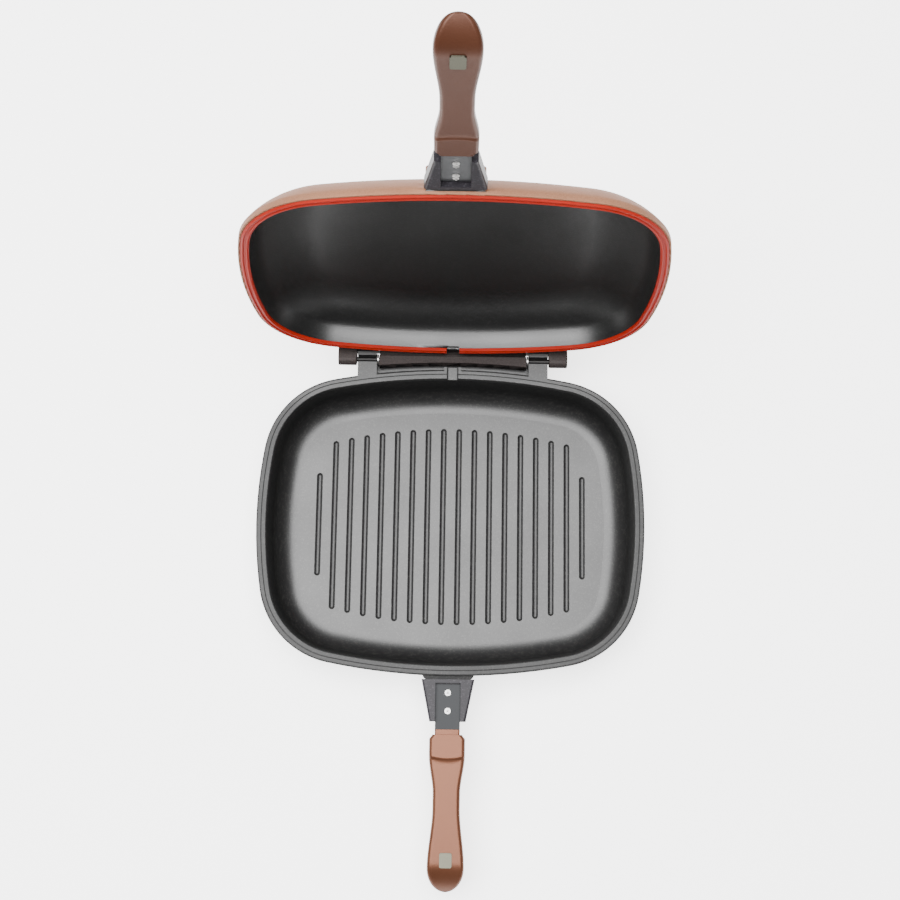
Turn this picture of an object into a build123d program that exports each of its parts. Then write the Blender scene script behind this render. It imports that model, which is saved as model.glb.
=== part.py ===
from build123d import *
import os
from math import asin, cos, radians, sin, sqrt

# Double sided flip pan: a ribbed lower pan, and a shallower upper pan hinged to its rear edge.
# Millimetres.  X is to the right, Y to the rear (the hinge side), Z up.  The origin is the centre
# of the lower pan's flat bottom.  The upper pan stands open against its stops.

# --- Outline shared by both pans -------------------------------------------------------------
HALF_WIDTH = 155.0        # centre to side edge of the rim
HALF_DEPTH = 123.0        # centre to front or rear edge of the rim
LONG_BOW_R = 500.0        # bow of the front and rear edges
SHORT_BOW_R = 345.0       # bow of the side edges
CORNER_R = 69.0
RIM_W = 7.9               # width of the rim's face

# --- Lower pan -------------------------------------------------------------------------------
BASE_H = 45.0             # bottom to rim
FLOOR_T = 6.0
BASE_WALL = 4.4
BASE_DRAFT = 6.0          # degrees
FLANGE_H = 5.0            # depth of the rim flange
FLANGE_EDGE_R = 0.8
FLANGE_ROOT_R = 1.5
BASE_INNER_R = 18.0       # wall to floor, inside
BASE_OUTER_R = 22.0       # wall to bottom, outside
RIM_EDGE_R = 1.6
RIM_INNER_R = 1.0
RIM_GROOVE_AT = 3.7       # fine groove round the rim's face, from the outer edge
RIM_GROOVE_W = 0.8
RIM_GROOVE_DEEP = 0.9
VENT_W = 9.4              # steam channel across the rear rim
VENT_DEEP = 2.4
VENT_CORNER_R = 1.5
SPOUT_WALL = 2.2
SPOUT_OUT = 1.8           # the channel's lip beyond the rim edge

# --- Fat channels in the cooking floor -------------------------------------------------------
CHANNEL_PITCH = 12.77
CHANNEL_PAIRS = 8         # full length channels each side of the centre line
CHANNEL_DEEP = 1.5
CHANNEL_R = 2.0           # round floor of a channel
CHANNEL_LIP_R = 1.5       # its rounded edges
CHANNEL_PAST = 0.03       # how far the cutter's lips run out above the floor
CHANNEL_HALF = 81.8       # half length at the centre line
CHANNEL_END_R = 400.0     # the ends of the channels lie on arcs
SHORT_CHANNEL_HALF = 43.0  # the outermost pair

# --- Upper pan -------------------------------------------------------------------------------
LID_H = 33.3              # rim to crown
LID_WALL = 2.8
LID_BAND = 4.0            # upright band above the rim
LID_DOME_R = 65.0         # shoulder between the band and the crown
LID_SIDE_IN = 13.7        # inset where the sloping inner side meets the dome
LID_SIDE_BOW = 0.7        # how far the inner side bows out
SEAM = 1.6                # gap between the two metal rims when shut
LIP_W = 1.6               # metal lip outside the gasket
SEAT_DEEP = 1.2           # gasket seat
FOOT_W = 3.0              # gasket foot and its groove
FOOT_DEEP = 3.0
GASKET_FIT = 0.05
GASKET_CLEAR = 0.3        # gasket to lower rim when shut
GASKET_FACE = 0.5         # how far the gasket's face stands below the lip
BEAD_R = 1.0
BEAD_INSET = 1.5          # bead centre from the gasket's edge
VENT_GAP = 10.6           # gap in the gasket
LID_VENT_H = 2.6

# --- Hinge -----------------------------------------------------------------------------------
HINGE_BACK = 7.6          # axis behind the rim edge
HINGE_RISE = -1.3         # axis above the lower rim
OPEN_ANGLE = 100.9        # shut to open, degrees
PIN_R = 2.1
PIN_FIT = 0.05
PIN_CHAMFER = 0.4
EAR_X = 69.4              # centre of each ear
EAR_W = 15.5
EAR_R = 7.2
EAR_TOP = 4.0             # ear above the axis
EAR_ROOT = 8.0            # how much deeper the ear is where it joins the wall
HEEL = 7.0                # stop face below the ear
STOP_GAP = 0.3
KNUCKLE_R = 4.8
KNUCKLE_W = 15.0
KNUCKLE_EDGE_R = 1.0
KNUCKLE_GAP = 0.85        # ear to knuckle
BEAM_T = 3.5              # plate that carries the bar and the knuckles
BEAM_BACK = 5.0           # plate behind the axis
BEAM_CORNER_R = 2.0
BAR_GAP = 2.05            # ear to bar
BAR_HALF_T = 3.6
BAR_UP = 3.0              # bar above the axis, when shut
BAR_DOWN = 3.4            # bar below the axis at its middle, when shut
BAR_END_DOWN = 6.4        # and at its ends
BAR_WEB_T = 3.2
BAR_EDGE_R = 1.2
PIN_IN_BAR = 10.0
PLUG_T = 2.5
PIN_END_GAP = 0.4
WASHER_T = 1.0
WASHER_R = 4.2
LIFT_CLEAR = 0.4
SHELF_T = 3.0             # web between the ears

# --- Handles: distances run outward from the front rim edge, drops down from the rim plane ----
BOSS_W = 40.0
BOSS_OUT = 2.4
BOSS_DROP = 2.0
BOSS_H = 18.0
BOSS_CORNER_R = 3.0
TONGUE_W = 24.0
TONGUE_OUT = 33.0
TONGUE_T = 8.0
TONGUE_CORNER_R = 4.0
BRACKET_FROM = 2.5
BRACKET_TO = 35.2
BRACKET_ROOT_W = 41.6
BRACKET_END_W = 28.4
BRACKET_DROP = 1.5
BRACKET_FLOOR = 3.0
BRACKET_EDGE_R = 2.0
STRAP_FROM = 6.3
STRAP_TO = 110.0
STRAP_W = 19.5
STRAP_TANG_W = 12.0
STRAP_T = 2.5
STRAP_DROP = 5.5          # strap's top face
STRAP_FIT = 0.1
STRAP_END_GAP = 1.0       # bracket to the strap's front end
STRAP_CORNER_R = 3.0
SCREW_AT = (12.9, 27.0)
SCREW_R = 2.4
SCREW_FIT = 0.1
SCREW_HEAD_R = 3.4
SCREW_HEAD_H = 2.7
SCREW_INTO = 6.0          # thread in the tongue
CROSS_SHARE = 0.6         # reach of the cross recess, of the head's radius
CROSS_W = 0.8
CROSS_DEEP = 1.0
NECK_FROM = 41.2
NECK_W = 19.5
NECK_WALL = 2.4
NECK_LAP = 2.0            # neck inside the collar
NECK_EDGE_R = 1.2
GRIP_FROM = 45.2
GRIP_TO = 164.6
COLLAR_TO = 60.6
COLLAR_HALF = 14.0
WAIST_FROM = 90.0
WAIST_TO = 101.0
WAIST_HALF = 10.6
BULB_AT = 145.6
BULB_HALF = 14.3
COLLAR_THICK = 15.5
WAIST_THICK = 13.2
BULB_THICK = 22.0
TIP_DROP = 14.0           # tip below the grip's inner face
FACE_BEND = 141.8         # from here the inner face falls away to the tip
SHOULDER_R = 3.0
SIDE_SHARE = 0.12         # upright part of the grip's side, of its thickness
FACE_SUNK = 1.0           # inner face below the collar
PART_GAP = 0.3            # between the two grips when shut
GRIP_SCREW_AT = (74.0, 102.0)
GRIP_SCREW_R = 1.9
GRIP_SCREW_HEAD_R = 3.8
GRIP_SCREW_HEAD_H = 2.2
GRIP_SCREW_SUNK = 0.6     # head below the grip's back
GRIP_SCREW_SHORT = 0.3    # tip below the strap's top face
MAGNET_AT = 139.6
MAGNET_W = 9.5
MAGNET_L = 11.2
MAGNET_T = 5.0
MAGNET_FIT = 0.05
MAGNET_CORNER_R = 1.5

CUT_PAST = 10.0           # how far the cooking spaces' cuts run past the rims

# --- Derived places --------------------------------------------------------------------------
HINGE_Y = HALF_DEPTH + HINGE_BACK
HINGE_Z = BASE_H + HINGE_RISE
LEAN = OPEN_ANGLE - 90.0                 # the open pan leans back by this much
LID_Z = BASE_H + SEAM                    # upper rim plane when shut
MID_Z = BASE_H + SEAM / 2
GRIP_FACE_Z = MID_Z - PART_GAP / 2
PIN_BORE_R = PIN_R + PIN_FIT
BEAM_UP = EAR_R + STOP_GAP               # underside of the beam above the axis, when shut
BAR_HALF_L = EAR_X - EAR_W / 2 - BAR_GAP
KNUCKLE_FROM = EAR_X + EAR_W / 2 + KNUCKLE_GAP
KNUCKLE_TO = KNUCKLE_FROM + KNUCKLE_W
BAR_SWEEP_R = sqrt(BAR_HALF_T ** 2 + BAR_END_DOWN ** 2)
DOME_IN = sqrt(LID_DOME_R ** 2 - (LID_DOME_R - LID_H + LID_BAND) ** 2)
BASE_IN = RIM_W + BASE_H * sin(radians(BASE_DRAFT)) + BASE_OUTER_R
TONGUE_TOP = BASE_H - STRAP_DROP - STRAP_T - BRACKET_FLOOR
CHANNEL_REACH = CHANNEL_DEEP + CHANNEL_PAST
CHANNEL_HALF_W = sqrt(2 * CHANNEL_REACH * (CHANNEL_R + CHANNEL_LIP_R) - CHANNEL_REACH ** 2)


# --- Shared shapes ---------------------------------------------------------------------------
def box(x0, x1, y0, y1, z0, z1):
    return Pos(x0, y0, z0) * Box(x1 - x0, y1 - y0, z1 - z0, align=Align.MIN)


def edge_y(x):
    """Rear edge of the outline at x."""
    return HALF_DEPTH - LONG_BOW_R + sqrt(LONG_BOW_R ** 2 - x ** 2)


def outline(inset=0.0):
    """Four bowed edges with tangent corners."""
    long_bow = Circle(LONG_BOW_R - inset)
    short_bow = Circle(SHORT_BOW_R - inset)
    dy = LONG_BOW_R - HALF_DEPTH
    dx = SHORT_BOW_R - HALF_WIDTH
    depth = (Pos(0, -dy) * long_bow) & (Pos(0, dy) * long_bow)
    width = (Pos(-dx, 0) * short_bow) & (Pos(dx, 0) * short_bow)
    face = depth & width
    return fillet(face.vertices(), CORNER_R - inset)


def disc(inset, z0, z1):
    return Pos(0, 0, z0) * extrude(outline(inset), amount=z1 - z0)


def rounded(corners):
    """Polygon through (inset, height, radius) corners."""
    face = Polygon(*[(s, z) for s, z, r in corners], align=None)
    for s, z, r in corners:
        if r > 0:
            face = fillet(face.vertices().sort_by_distance((s, z, 0))[0], r)
    return face


def ring(section):
    """Sweep a section, drawn as inset from the rim edge and height, round the outline."""
    path = outline().faces()[0].outer_wire()
    tangent = path % 0
    plane = Plane(origin=path @ 0, x_dir=Vector(0, 0, 1).cross(tangent), z_dir=tangent)
    return sweep(plane * section, path=path)


def out(distance):
    """Y of a place in front of the front rim edge."""
    return -(HALF_DEPTH + distance)


def profile_x(points, x0, x1):
    """Extrude a polygon drawn in Y and Z from x0 to x1."""
    plane = Plane(origin=(x0, 0, 0), x_dir=(0, 1, 0), z_dir=(1, 0, 0))
    return extrude(plane * Polygon(*points, align=None), amount=x1 - x0, dir=(1, 0, 0))


def rod_x(radius, y, z, x0, x1):
    return Pos((x0 + x1) / 2, y, z) * Rot(0, 90, 0) * Cylinder(radius, x1 - x0)


def both_sides(part):
    return [part, mirror(part, about=Plane.YZ)]


def mirrored(part):
    """The upper pan's copy of a piece built for the lower pan, shut."""
    return mirror(part, about=Plane.XY.offset(MID_Z))


def opened(part):
    """Turn a piece of the shut upper pan about the hinge to its open place."""
    axis = Pos(0, HINGE_Y, HINGE_Z)
    return axis * Rot(-OPEN_ANGLE, 0, 0) * axis.inverse() * part


# --- Lower pan -------------------------------------------------------------------------------
def base_body():
    fall = BASE_H * sin(radians(BASE_DRAFT))
    wall_in = RIM_W - BASE_WALL
    section = rounded([
        (0, BASE_H, RIM_EDGE_R),
        (0, BASE_H - FLANGE_H, FLANGE_EDGE_R),
        (wall_in, BASE_H - FLANGE_H - wall_in / 2, FLANGE_ROOT_R),
        (wall_in + fall, 0, BASE_OUTER_R),
        (BASE_IN, 0, 0),
        (BASE_IN, BASE_H, 0),
    ])
    return ring(section) + disc(BASE_IN, 0, BASE_H)


def base_cavity():
    fall = BASE_H * sin(radians(BASE_DRAFT))
    top = BASE_H + CUT_PAST
    shoulder = RIM_W - 2 * RIM_INNER_R
    section = rounded([
        (shoulder, top, 0),
        (shoulder, BASE_H, 0),
        (RIM_W, BASE_H, RIM_INNER_R),
        (RIM_W + fall, FLOOR_T, BASE_INNER_R),
        (BASE_IN, FLOOR_T, 0),
        (BASE_IN, top, 0),
    ])
    return ring(section) + disc(BASE_IN, FLOOR_T, top)


def channel_section():
    """Right half of a channel: a round floor that runs into a rounded edge."""
    top = FLOOR_T + CHANNEL_PAST
    low = FLOOR_T - CHANNEL_DEEP
    centre = (0, low + CHANNEL_R)
    lip = (CHANNEL_HALF_W, top - CHANNEL_LIP_R)
    share = CHANNEL_R / (CHANNEL_R + CHANNEL_LIP_R)
    meet = (share * lip[0], centre[1] + share * (lip[1] - centre[1]))
    slope = asin(meet[0] / CHANNEL_R)
    floor_mid = (CHANNEL_R * sin(slope / 2), centre[1] - CHANNEL_R * cos(slope / 2))
    lip_mid = (lip[0] - CHANNEL_LIP_R * sin(slope / 2), lip[1] + CHANNEL_LIP_R * cos(slope / 2))
    return make_face([
        ThreePointArc((0, low), floor_mid, meet),
        ThreePointArc(meet, lip_mid, (lip[0], top)),
        Line((lip[0], top), (0, top)),
        Line((0, top), (0, low)),
    ])


def channel(x, half):
    """Cutter for one channel, with round ends."""
    section = Plane.XZ * channel_section()
    end = half - CHANNEL_HALF_W
    side = extrude(section, amount=end, both=True)
    cutter = side + mirror(side, about=Plane.YZ)
    cutter += [Pos(0, y, 0) * revolve(section, axis=Axis.Z) for y in (-end, end)]
    return Pos(x, 0, 0) * cutter


def channels():
    cuts = []
    for i in range(CHANNEL_PAIRS + 1):
        x = (i + 0.5) * CHANNEL_PITCH
        half = CHANNEL_HALF - (CHANNEL_END_R - sqrt(CHANNEL_END_R ** 2 - x ** 2))
        if i == CHANNEL_PAIRS:
            half = SHORT_CHANNEL_HALF
        cuts += [channel(x, half), channel(-x, half)]
    return cuts


def lug(rim_z, reach_in):
    """Cast boss and tongue on the front wall that carry a bracket."""
    top = rim_z - BOSS_DROP
    boss = box(-BOSS_W / 2, BOSS_W / 2, out(BOSS_OUT), out(-reach_in), top - BOSS_H, top)
    boss = fillet(boss.edges().filter_by(Axis.Z).group_by(Axis.Y)[0], BOSS_CORNER_R)
    low = TONGUE_TOP - TONGUE_T
    tongue = box(-TONGUE_W / 2, TONGUE_W / 2, out(TONGUE_OUT), out(0), low, TONGUE_TOP)
    tongue = fillet(tongue.edges().filter_by(Axis.Z).group_by(Axis.Y)[0], TONGUE_CORNER_R)
    return boss + tongue


def lug_holes():
    holes = []
    for at in SCREW_AT:
        depth = SCREW_INTO + 1
        holes.append(Pos(0, out(at), TONGUE_TOP - depth / 2) * Cylinder(SCREW_R + SCREW_FIT, depth))
    return holes


def ear():
    """Hook for a hinge pin: a finger behind the pin, a half cup before it and a stop face."""
    x0 = EAR_X - EAR_W / 2
    x1 = EAR_X + EAR_W / 2
    root = edge_y(x1) - RIM_W + BASE_WALL / 2
    lean = radians(LEAN)
    foot = (HINGE_Y + EAR_R * cos(lean), HINGE_Z - EAR_R * sin(lean))
    heel = (foot[0] - HEEL * sin(lean), foot[1] - HEEL * cos(lean))
    low = HINGE_Z - EAR_R - EAR_ROOT
    body = profile_x([
        (root, BASE_H), (HINGE_Y, BASE_H), foot, heel, (HINGE_Y - EAR_R, heel[1]), (root, low),
    ], x0, x1)
    body += rod_x(EAR_R, HINGE_Y, HINGE_Z, x0, x1)
    body -= box(x0 - 1, x1 + 1, HINGE_Y - 2 * EAR_R, HINGE_Y + 2 * EAR_R,
                HINGE_Z + EAR_TOP, HINGE_Z + 2 * EAR_R)
    body -= box(x0 - 1, x1 + 1, HINGE_Y - 2 * EAR_R, HINGE_Y, BASE_H, HINGE_Z + 2 * EAR_R)
    slot = box(x0 - 1, x1 + 1, -PIN_BORE_R, PIN_BORE_R, 0, 2 * EAR_R)
    body -= Pos(0, HINGE_Y, HINGE_Z) * Rot(-LEAN, 0, 0) * slot
    return body - rod_x(PIN_BORE_R, HINGE_Y, HINGE_Z, x0 - 1, x1 + 1)


def shelf():
    """Web between the ears, below the sweep of the upper pan's bar."""
    top = HINGE_Z - BAR_SWEEP_R - LIFT_CLEAR
    half = EAR_X - EAR_W / 2 + 1
    return box(-half, half, HALF_DEPTH - RIM_W, HINGE_Y, top - SHELF_T, top)


def spout():
    half = VENT_W / 2 + SPOUT_WALL
    low = BASE_H - VENT_DEEP - SPOUT_WALL
    return box(-half, half, HALF_DEPTH - RIM_W / 2, HALF_DEPTH + SPOUT_OUT, low, BASE_H)


def vent():
    half = VENT_W / 2
    y0 = HALF_DEPTH - 2 * RIM_W
    y1 = HALF_DEPTH + SPOUT_OUT + 1
    cut = box(-half, half, y0, y1, BASE_H - VENT_DEEP, BASE_H + 1)
    return fillet(cut.edges().filter_by(Axis.Y).group_by(Axis.Z)[0], VENT_CORNER_R)


def rim_groove():
    return ring(rounded([
        (RIM_GROOVE_AT, BASE_H - RIM_GROOVE_DEEP, 0),
        (RIM_GROOVE_AT + RIM_GROOVE_W, BASE_H - RIM_GROOVE_DEEP, 0),
        (RIM_GROOVE_AT + RIM_GROOVE_W, BASE_H + 1, 0),
        (RIM_GROOVE_AT, BASE_H + 1, 0),
    ]))


def base_pan():
    pan = base_body() + both_sides(ear()) + shelf() + spout() + lug(BASE_H, BASE_WALL)
    return pan - base_cavity() - rim_groove() - vent() - channels() - lug_holes()


# --- Upper pan, built shut -------------------------------------------------------------------
def dome(radius, low, crown_z, edge):
    """Section of a domed body: an upright edge, then an arc tangent to the flat crown."""
    start = DOME_IN - edge
    rise = crown_z - radius
    meet = rise + sqrt(radius ** 2 - start ** 2)
    half = (asin(start / radius)) / 2
    middle = (DOME_IN - radius * sin(half), rise + radius * cos(half))
    lines = [
        Line((edge, low), (edge, meet)),
        ThreePointArc((edge, meet), middle, (DOME_IN, crown_z)),
        Line((DOME_IN, crown_z), (DOME_IN, low)),
        Line((DOME_IN, low), (edge, low)),
    ]
    return make_face(lines)


def lid_body():
    top = LID_Z + LID_H
    section = dome(LID_DOME_R, LID_Z, top, 0)
    return ring(section) + disc(DOME_IN, LID_Z, top)


def lid_cavity():
    """Hollow of the pan: a sloping side that bows out a little, then the dome."""
    radius = LID_DOME_R - LID_WALL
    top = LID_Z + LID_H - LID_WALL
    low = LID_Z - CUT_PAST
    start = DOME_IN - LID_SIDE_IN
    half = asin(start / radius) / 2
    rise = top - radius
    foot = Vector(RIM_W, LID_Z + SEAT_DEEP)
    head = Vector(LID_SIDE_IN, rise + sqrt(radius ** 2 - start ** 2))
    along = (head - foot).normalized()
    bowed = (foot + head) / 2 + LID_SIDE_BOW * Vector(-along.Y, along.X)
    section = make_face([
        Line((RIM_W, low), foot),
        ThreePointArc(foot, bowed, head),
        ThreePointArc(head, (DOME_IN - radius * sin(half), rise + radius * cos(half)), (DOME_IN, top)),
        Line((DOME_IN, top), (DOME_IN, low)),
        Line((DOME_IN, low), (RIM_W, low)),
    ])
    return ring(section) + disc(DOME_IN, low, top)


def hinge_beam():
    """Plate from the rear wall that carries the bar and the knuckles, and stops on the ears."""
    x = KNUCKLE_TO
    z0 = HINGE_Z + BEAM_UP
    y0 = edge_y(x) - RIM_W / 2
    plate = box(-x, x, y0, HINGE_Y + BEAM_BACK, z0, z0 + BEAM_T)
    corners = plate.edges().filter_by(Axis.Z).group_by(Axis.Y)[-1]
    return fillet(corners, BEAM_CORNER_R)


def hinge_bar():
    """Bar between the ears; its lower edge is hollowed to follow the rim."""
    rise = BAR_END_DOWN - BAR_DOWN
    hollow_r = (BAR_HALF_L ** 2 + rise ** 2) / (2 * rise)
    bar = box(-BAR_HALF_L, BAR_HALF_L, HINGE_Y - BAR_HALF_T, HINGE_Y + BAR_HALF_T,
              HINGE_Z - BAR_END_DOWN, HINGE_Z + BAR_UP)
    hollow = Pos(0, HINGE_Y, HINGE_Z - BAR_DOWN - hollow_r) * Rot(90, 0, 0)
    bar -= hollow * Cylinder(hollow_r, 4 * BAR_HALF_T)
    bar = fillet(bar.edges().filter_by(Axis.X), BAR_EDGE_R)
    web = box(-BAR_HALF_L, BAR_HALF_L, HINGE_Y + BAR_HALF_T - BAR_WEB_T, HINGE_Y + BAR_HALF_T,
              HINGE_Z, HINGE_Z + BEAM_UP + BEAM_T / 2)
    return bar + web


def knuckle():
    barrel = rod_x(KNUCKLE_R, HINGE_Y, HINGE_Z, KNUCKLE_FROM, KNUCKLE_TO)
    barrel = fillet(barrel.edges().filter_by(GeomType.CIRCLE), KNUCKLE_EDGE_R)
    web = box(KNUCKLE_FROM, KNUCKLE_TO, HINGE_Y - KNUCKLE_R, HINGE_Y + BEAM_BACK,
              HINGE_Z, HINGE_Z + BEAM_UP + BEAM_T / 2)
    return barrel + web


def pin_bore():
    return rod_x(PIN_BORE_R, HINGE_Y, HINGE_Z, BAR_HALF_L - PIN_IN_BAR, KNUCKLE_TO + 1)


def gasket_seat():
    low = LID_Z - 1
    seat_z = LID_Z + SEAT_DEEP
    middle = (LIP_W + RIM_W) / 2
    return ring(rounded([
        (LIP_W, low, 0), (LIP_W, seat_z, 0),
        (middle - FOOT_W / 2, seat_z, 0), (middle - FOOT_W / 2, seat_z + FOOT_DEEP, 0),
        (middle + FOOT_W / 2, seat_z + FOOT_DEEP, 0), (middle + FOOT_W / 2, seat_z, 0),
        (RIM_W + 1, seat_z, 0), (RIM_W + 1, low, 0),
    ]))


def lid_vent():
    half = VENT_W / 2
    return box(-half, half, HALF_DEPTH - 2 * RIM_W, HALF_DEPTH + 1, LID_Z - 1, LID_Z + LID_VENT_H)


def lid_pan():
    pan = lid_body() + hinge_beam() + hinge_bar() + both_sides(knuckle())
    pan += mirrored(lug(BASE_H, DOME_IN / 2))
    pan = pan - lid_cavity() - gasket_seat() - lid_vent() - both_sides(pin_bore())
    return pan - [mirrored(hole) for hole in lug_holes()]


def lid_gasket():
    """Silicone ring: a flange on the seat, a foot in the groove and two sealing beads."""
    seat_z = LID_Z + SEAT_DEEP
    face_z = LID_Z - GASKET_FACE
    outer = LIP_W + GASKET_FIT
    inner = RIM_W
    middle = (LIP_W + RIM_W) / 2
    foot = FOOT_W / 2 - GASKET_FIT
    bead_z = LID_Z - SEAM + GASKET_CLEAR + BEAD_R
    foot_z = seat_z + FOOT_DEEP - GASKET_FIT
    section = Polygon(
        (outer, face_z), (inner, face_z), (inner, seat_z), (middle + foot, seat_z),
        (middle + foot, foot_z), (middle - foot, foot_z), (middle - foot, seat_z),
        (outer, seat_z), align=None)
    for s in (outer + BEAD_INSET, inner - BEAD_INSET):
        section += Pos(s, bead_z) * Circle(BEAD_R)
    half = VENT_GAP / 2
    gap = box(-half, half, 0, HALF_DEPTH + 1, LID_Z - 5, LID_Z + 10)
    return ring(section) - gap


# --- Hinge fittings, built at the axis --------------------------------------------------------
def hinge_pin():
    x0 = BAR_HALF_L - PIN_IN_BAR + PIN_END_GAP
    x1 = KNUCKLE_TO - PLUG_T - PIN_END_GAP
    pin = rod_x(PIN_R, HINGE_Y, HINGE_Z, x0, x1)
    return chamfer(pin.edges().filter_by(GeomType.CIRCLE), PIN_CHAMFER)


def hinge_washer():
    middle = BAR_HALF_L + BAR_GAP / 2
    x0 = middle - WASHER_T / 2
    x1 = middle + WASHER_T / 2
    outer = rod_x(WASHER_R, HINGE_Y, HINGE_Z, x0, x1)
    return outer - rod_x(PIN_R, HINGE_Y, HINGE_Z, x0 - 1, x1 + 1)


def hinge_plug():
    return rod_x(PIN_BORE_R, HINGE_Y, HINGE_Z, KNUCKLE_TO - PLUG_T, KNUCKLE_TO)


# --- Handle pieces, built for the lower pan ---------------------------------------------------
def bracket():
    """Trapezoid saddle with raised cheeks and a channel for the strap."""
    top = BASE_H - BRACKET_DROP
    root = BRACKET_ROOT_W / 2
    end = BRACKET_END_W / 2
    y0 = out(BRACKET_FROM)
    y1 = out(BRACKET_TO)
    plan = Polygon((-root, y0), (-end, y1), (end, y1), (root, y0), align=None)
    body = Pos(0, 0, TONGUE_TOP) * extrude(plan, amount=top - TONGUE_TOP)
    slopes = body.edges().group_by(Axis.Z)[-1].filter_by(lambda e: abs((e % 0.5).Y) > 0.5)
    body = fillet(slopes, BRACKET_EDGE_R)
    half = STRAP_W / 2 + STRAP_FIT
    floor = TONGUE_TOP + BRACKET_FLOOR
    body -= box(-half, half, y1 - 1, out(STRAP_FROM - STRAP_END_GAP), floor, BASE_H)
    for at in SCREW_AT:
        body -= Pos(0, out(at), TONGUE_TOP) * Cylinder(SCREW_R + 2 * SCREW_FIT, 4 * BRACKET_FLOOR)
    return body


def strap():
    """Steel tang from the bracket into the grip, narrower inside it."""
    top = BASE_H - STRAP_DROP
    wide = box(-STRAP_W / 2, STRAP_W / 2, out(NECK_FROM), out(STRAP_FROM), top - STRAP_T, top)
    half = STRAP_TANG_W / 2
    tang = box(-half, half, out(STRAP_TO), out(NECK_FROM), top - STRAP_T, top)
    tang = fillet(tang.edges().filter_by(Axis.Z).group_by(Axis.Y)[0], STRAP_CORNER_R)
    body = wide + tang
    for at in SCREW_AT:
        body -= Pos(0, out(at), top) * Cylinder(SCREW_R + 2 * SCREW_FIT, 4 * STRAP_T)
    for at in GRIP_SCREW_AT:
        body -= Pos(0, out(at), top) * Cylinder(GRIP_SCREW_R + SCREW_FIT, 4 * STRAP_T)
    return body


def cross_recess(head_r):
    long = 2 * CROSS_SHARE * head_r
    return Box(long, CROSS_W, 2 * CROSS_DEEP) + Box(CROSS_W, long, 2 * CROSS_DEEP)


def strap_screw(at):
    """Round head screw that clamps strap and bracket to the tongue."""
    seat = BASE_H - STRAP_DROP
    dome_r = (SCREW_HEAD_R ** 2 + SCREW_HEAD_H ** 2) / (2 * SCREW_HEAD_H)
    head = Pos(0, 0, seat + SCREW_HEAD_H - dome_r) * Sphere(dome_r)
    head &= Pos(0, 0, seat) * Cylinder(SCREW_HEAD_R, SCREW_HEAD_H,
                                       align=(Align.CENTER, Align.CENTER, Align.MIN))
    length = seat - TONGUE_TOP + SCREW_INTO
    shank = Pos(0, 0, seat - length) * Cylinder(SCREW_R, length,
                                                align=(Align.CENTER, Align.CENTER, Align.MIN))
    screw = head + shank - Pos(0, 0, seat + SCREW_HEAD_H) * cross_recess(SCREW_HEAD_R)
    return Pos(0, out(at), 0) * screw


def ease(u):
    """Smooth step from 0 to 1."""
    u = min(max(u, 0.0), 1.0)
    return u * u * (3 - 2 * u)


def grip_size(t):
    """Half width and thickness of the grip at a distance from the rim."""
    if t < WAIST_FROM:
        k = ease((WAIST_FROM - t) / (WAIST_FROM - COLLAR_TO))
        half, thick = COLLAR_HALF, COLLAR_THICK
    else:
        k = ease((t - WAIST_TO) / (BULB_AT - WAIST_TO))
        half, thick = BULB_HALF, BULB_THICK
    return WAIST_HALF + k * (half - WAIST_HALF), WAIST_THICK + k * (thick - WAIST_THICK)


def grip_section(t):
    """D shaped section, flat towards the other grip; it closes in towards the tip."""
    half, thick = grip_size(t)
    shrink = 1.0
    if t > BULB_AT:
        shrink = sqrt(1 - ((t - BULB_AT) / (GRIP_TO - BULB_AT)) ** 2)
    half *= shrink
    top = -TIP_DROP * max(0.0, (t - FACE_BEND) / (GRIP_TO - FACE_BEND)) ** 2
    low = -TIP_DROP - (thick - TIP_DROP) * shrink
    r = SHOULDER_R * shrink
    side = top - r - (top - low) * SIDE_SHARE
    flat = half - r
    edges = [
        Line((-flat, top), (flat, top)),
        CenterArc((flat, top - r), r, 90, -90),
        Line((half, top - r), (half, side)),
        EllipticalCenterArc((0, side), half, side - low, 0, arc_size=-180),
        Line((-half, side), (-half, top - r)),
        CenterArc((-flat, top - r), r, 180, -90),
    ]
    plane = Plane(origin=(0, out(t), GRIP_FACE_Z), x_dir=(1, 0, 0), z_dir=(0, -1, 0))
    return plane * make_face(edges)


def grip_body():
    """Loft through stations that crowd together towards the rounded tip."""
    tip = GRIP_TO - BULB_AT
    stations = [GRIP_FROM + (COLLAR_TO - GRIP_FROM) * i / 2 for i in range(3)]
    stations += [COLLAR_TO + (WAIST_FROM - COLLAR_TO) * i / 3 for i in (1, 2, 3)]
    stations += [WAIST_TO + (BULB_AT - WAIST_TO) * i / 4 for i in range(5)]
    stations += [BULB_AT + tip * sin(radians(angle)) for angle in (25, 45, 62, 75, 84)]
    return loft([grip_section(t) for t in stations])


def grip_neck():
    """Short sleeve round the strap where it enters the grip."""
    top = BASE_H - STRAP_DROP + NECK_WALL
    low = BASE_H - STRAP_DROP - STRAP_T - NECK_WALL
    neck = box(-NECK_W / 2, NECK_W / 2, out(GRIP_FROM + NECK_LAP), out(NECK_FROM), low, top)
    return fillet(neck.edges().filter_by(Axis.Y), NECK_EDGE_R)


def magnet_pocket(slack):
    """The magnet's block, or its pocket with slack all round."""
    half = MAGNET_W / 2 + slack
    low = GRIP_FACE_Z - MAGNET_T - slack
    y0 = out(MAGNET_AT + MAGNET_L / 2 + slack)
    y1 = out(MAGNET_AT - MAGNET_L / 2 - slack)
    block = box(-half, half, y0, y1, low, GRIP_FACE_Z + slack)
    return fillet(block.edges().filter_by(Axis.Z), MAGNET_CORNER_R)


def grip_screw_seat(at):
    """Height of a grip screw's head, just inside the grip's back."""
    thick = grip_size(at)[1]
    return GRIP_FACE_Z - thick + GRIP_SCREW_SUNK


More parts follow.
